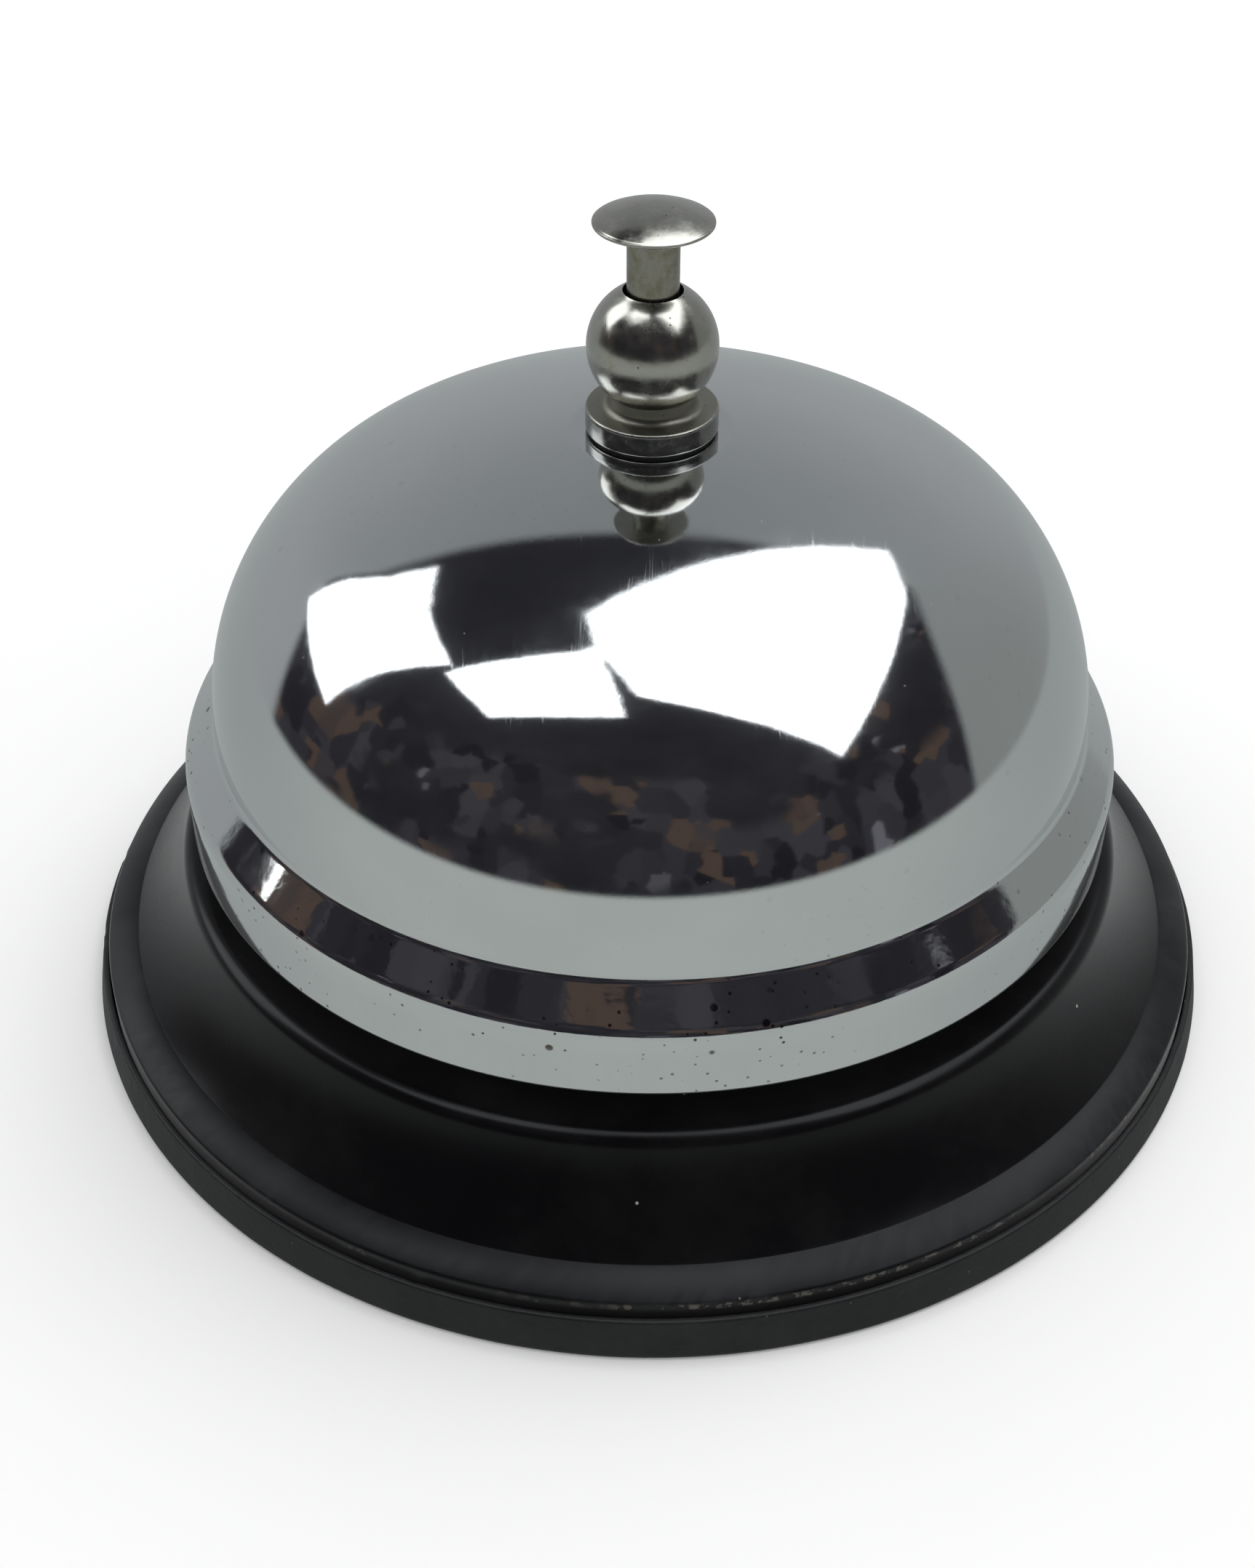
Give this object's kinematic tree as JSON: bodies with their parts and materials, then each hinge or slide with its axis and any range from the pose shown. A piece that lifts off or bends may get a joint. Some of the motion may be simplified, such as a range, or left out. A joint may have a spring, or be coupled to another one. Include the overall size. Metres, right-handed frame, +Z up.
{
  "type": "desk call bell",
  "caption": "Desk call bell: domed metal gong on a round pressed base, rung by a hammer under the gong that a sprung push button throws.",
  "frame": {"origin": "centre of the base's underside, on the surface it stands on", "axes": "+Z up along the plunger, +X towards the striker, -Y towards the viewer"},
  "size_m": [0.0848, 0.0848, 0.0595],
  "materials": {
    "bell_chrome": "polished, hazed with fine scratches",
    "nickel_polish": "polished nickel plate",
    "nickel_satin": "brushed nickel plate",
    "black_paint": "satin gloss black paint",
    "ring_rubber": "dull",
    "zinc_steel": "zinc plated",
    "rivet_steel": "plain",
    "spring_steel": "oiled",
    "striker_steel": "turned",
    "brass": "turned",
    "red_fibre": "vulcanised fibre",
    "black_fibre": "matt"
  },
  "bodies": {
    "base": {"foot_ring": "ring_rubber", "base_pan": "black_paint", "bracket": "zinc_steel", "bracket_rivets": "rivet_steel", "centre_post": "nickel_satin", "post_lower_nut": "zinc_steel", "post_lock_washer": "spring_steel", "post_upper_nut": "zinc_steel", "bell_support_nut": "zinc_steel", "bell_steel_washer": "zinc_steel", "bell_fibre_washer": "red_fibre", "bell": "bell_chrome", "collar_washer": "black_fibre", "finial_nut": "nickel_polish", "pivot_pin": "rivet_steel", "pivot_pin_clip": "spring_steel", "return_spring": "spring_steel"},
    "plunger": {"plunger_rod": "nickel_satin", "button_cap": "nickel_polish", "rod_clip": "spring_steel"},
    "hammer": {"hammer_lever": "zinc_steel", "hammer_bush": "brass", "striker": "striker_steel", "striker_rivet": "rivet_steel"}
  },
  "joints": [
    {"name": "plunger_press", "type": "slide", "parent": "base", "child": "plunger", "axis": [0, 0, -1], "range_m": [0, 0.0035], "stiffness_N_per_m": 400, "springref_m": -0.003, "deforming": ["return_spring"]},
    {"name": "hammer_swing", "type": "hinge", "parent": "base", "child": "hammer", "pos_m": [0.007, 0, 0.0245], "axis": [0, -1, 0], "range_deg": [0, 29]}
  ],
  "couplings": [
    {"joint": "hammer_swing", "follows": "plunger_press", "rad_per_m": 144.6}
  ]
}
